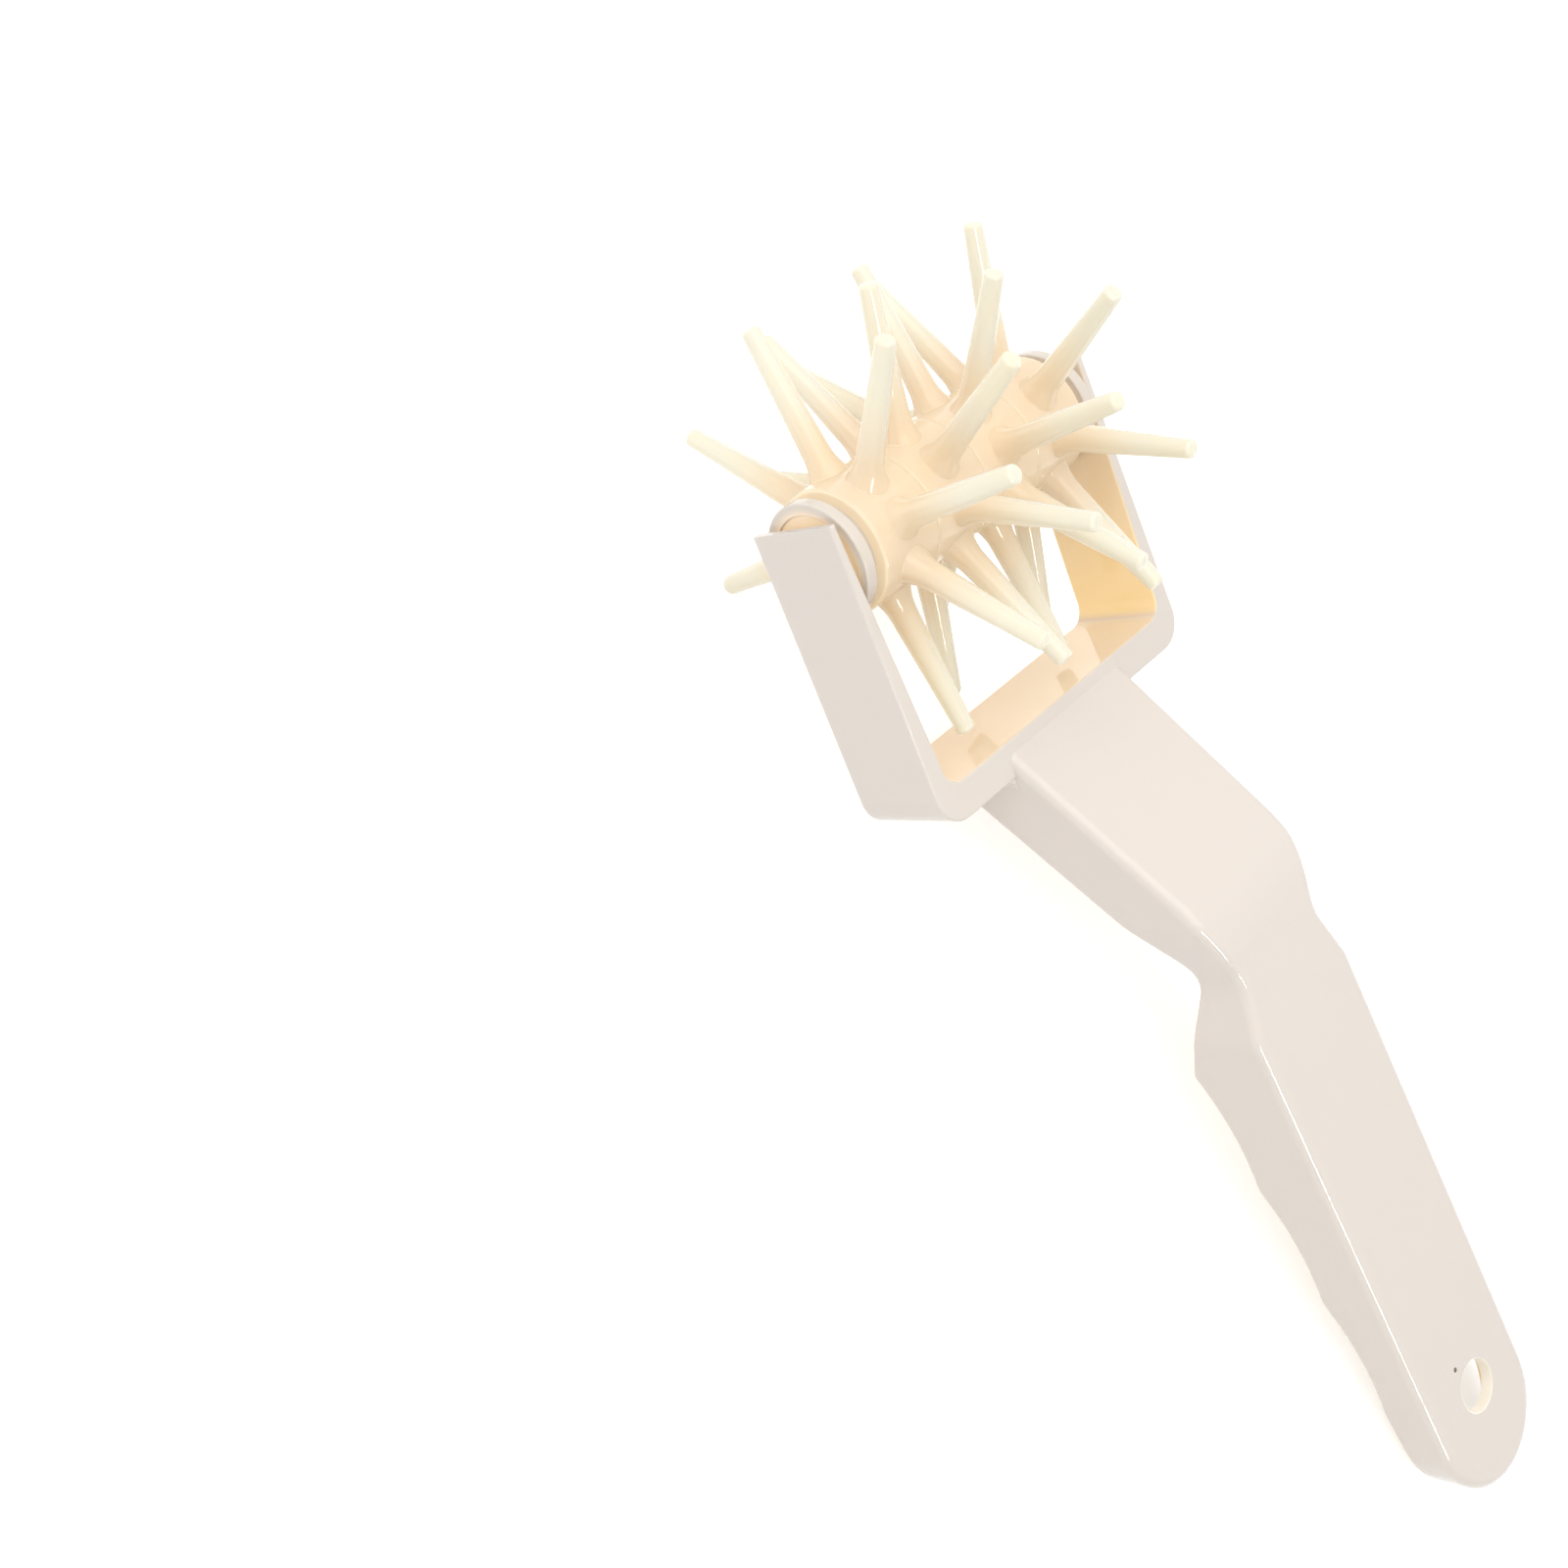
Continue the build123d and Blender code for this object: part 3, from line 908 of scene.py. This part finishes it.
@dataclass
class Studio:
    """Pale floor, soft lights and the camera. Lengths are in metres, angles in degrees."""

    eye: Point = (-0.06725, -0.22057, 0.26648)
    turn: Point = (20.851, -29.059, 47.663)
    lens: float = 47.913
    sensor: float = 36.0
    floor_half: float = 3.0
    floor_tone: Colour = (236, 236, 236)
    floor_lift: float = 0.6
    sky_strength: float = 0.63
    seen_sky_strength: float = 1.0
    key: Lamp = Lamp("softbox_key", (-0.28, -0.2, 0.93), (1.2, 1.2), 6.0)
    strip: Lamp = Lamp(
        "edge_strip", (0.72, -0.5, 0.585), (0.5, 0.1), 5.0, (0.76, 0.28, -0.63))
    near_clip: float = 0.01

    def place_camera(self) -> bpy.types.Object:
        """Set up the camera at the photograph's viewpoint.

        Returns:
            The camera.
        """
        data = bpy.data.cameras.new("view")
        data.lens = self.lens
        data.sensor_width = self.sensor
        data.sensor_height = self.sensor
        data.sensor_fit = "HORIZONTAL"
        data.clip_start = self.near_clip
        camera = bpy.data.objects.new("view", data)
        camera.location = self.eye
        camera.rotation_euler = [math.radians(angle) for angle in self.turn]
        bpy.context.scene.collection.objects.link(camera)
        bpy.context.scene.camera = camera
        return camera

    def lay_floor(self) -> bpy.types.Object:
        """Lay a pale floor that the camera sees as white, apart from the object's shadow.

        Returns:
            The floor.
        """
        half = self.floor_half
        mesh = bpy.data.meshes.new("floor")
        mesh.from_pydata([(-half, -half, 0), (half, -half, 0), (half, half, 0), (-half, half, 0)],
                         [], [(0, 1, 2, 3)])
        floor = bpy.data.objects.new("floor", mesh)
        bpy.context.scene.collection.objects.link(floor)
        material = bpy.data.materials.new("floor_white")
        material.use_nodes = True
        wires = Wires(material.node_tree)
        wires.tree.nodes.clear()
        paint = wires.node("ShaderNodeBsdfDiffuse", {"Color": to_linear(self.floor_tone)})
        lift = wires.node("ShaderNodeEmission", {
            "Strength": self.seen_rays(wires, self.floor_lift)})
        both = wires.node("ShaderNodeAddShader", {
            0: paint.outputs["BSDF"], 1: lift.outputs["Emission"]})
        wires.node("ShaderNodeOutputMaterial", {"Surface": both.outputs["Shader"]})
        mesh.materials.append(material)
        return floor

    @staticmethod
    def seen_rays(wires: Wires, strength: float, unseen: float = 0.0) -> bpy.types.NodeSocket:
        """Give one strength to rays from the camera and reflected ones, and one to the rest.

        Args:
            wires: The tree to build in.
            strength: The strength that the camera and reflections see.
            unseen: The strength for the rest.

        Returns:
            The socket with the strength.
        """
        path = wires.node("ShaderNodeLightPath").outputs
        direct = wires.math("MAXIMUM", path["Is Camera Ray"], path["Is Transmission Ray"])
        seen = wires.math("MAXIMUM", direct, path["Is Glossy Ray"])
        return wires.ramp(seen, 0.0, 1.0, unseen, strength, "LINEAR")

    def light(self) -> None:
        """Set an even white surround, a large soft lamp and a strip that only reflects."""
        world = bpy.data.worlds.new("surround")
        bpy.context.scene.world = world
        world.use_nodes = True
        wires = Wires(world.node_tree)
        sky = wires.tree.nodes["Background"]
        wires.feed(sky.inputs["Color"], (1, 1, 1, 1))
        seen = self.seen_rays(wires, self.seen_sky_strength, self.sky_strength)
        wires.feed(sky.inputs["Strength"], seen)
        self.key.hang()
        self.strip.hang().visible_diffuse = False

    def set_up(self) -> None:
        """Build the whole studio."""
        scene = bpy.context.scene
        scene.view_settings.view_transform = "Standard"
        self.place_camera()
        self.lay_floor()
        self.light()


def put_on(piece: bpy.types.Object, material: bpy.types.Material) -> None:
    """Give every material slot of a piece one material.

    Args:
        piece: The piece to dress.
        material: Its material.
    """
    if not piece.material_slots:
        piece.data.materials.append(material)
    for slot in piece.material_slots:
        slot.material = material


def run_tree(piece: bpy.types.Object, tree: bpy.types.GeometryNodeTree, values: dict) -> None:
    """Run a Geometry Nodes tree on a piece and keep the result as its mesh.

    Args:
        piece: The object that the tree works on.
        tree: The tree.
        values: A value for each named input.
    """
    modifier = piece.modifiers.new(tree.name, "NODES")
    modifier.node_group = tree
    for item in tree.interface.items_tree:
        if item.item_type == "SOCKET" and item.in_out == "INPUT" and item.name in values:
            modifier[item.identifier] = values[item.name]
    Geometry.settle(piece)


def main() -> None:
    """Build the studio, dress every piece and report each one."""
    logging.basicConfig(level=logging.INFO, format="%(name)s: %(message)s")
    Studio().set_up()
    log.info("studio is set up")
    kit = ShaderKit()
    roller = SpikedRoller()
    handle = HandleFrame()
    lie = Lie(roller.centre, handle.hole, handle.speck)
    handle.dress(kit, lie)
    log.info("handle_frame dressed")
    roller.dress(kit, lie)
    log.info("%s, caps and core dressed", ", ".join(roller.rings))
    seams = SeamTree().build()
    piece = roller.parting_lines(seams)
    log.info("%s: %d faces", piece.name, len(piece.data.polygons))


if __name__ == "__main__":
    main()
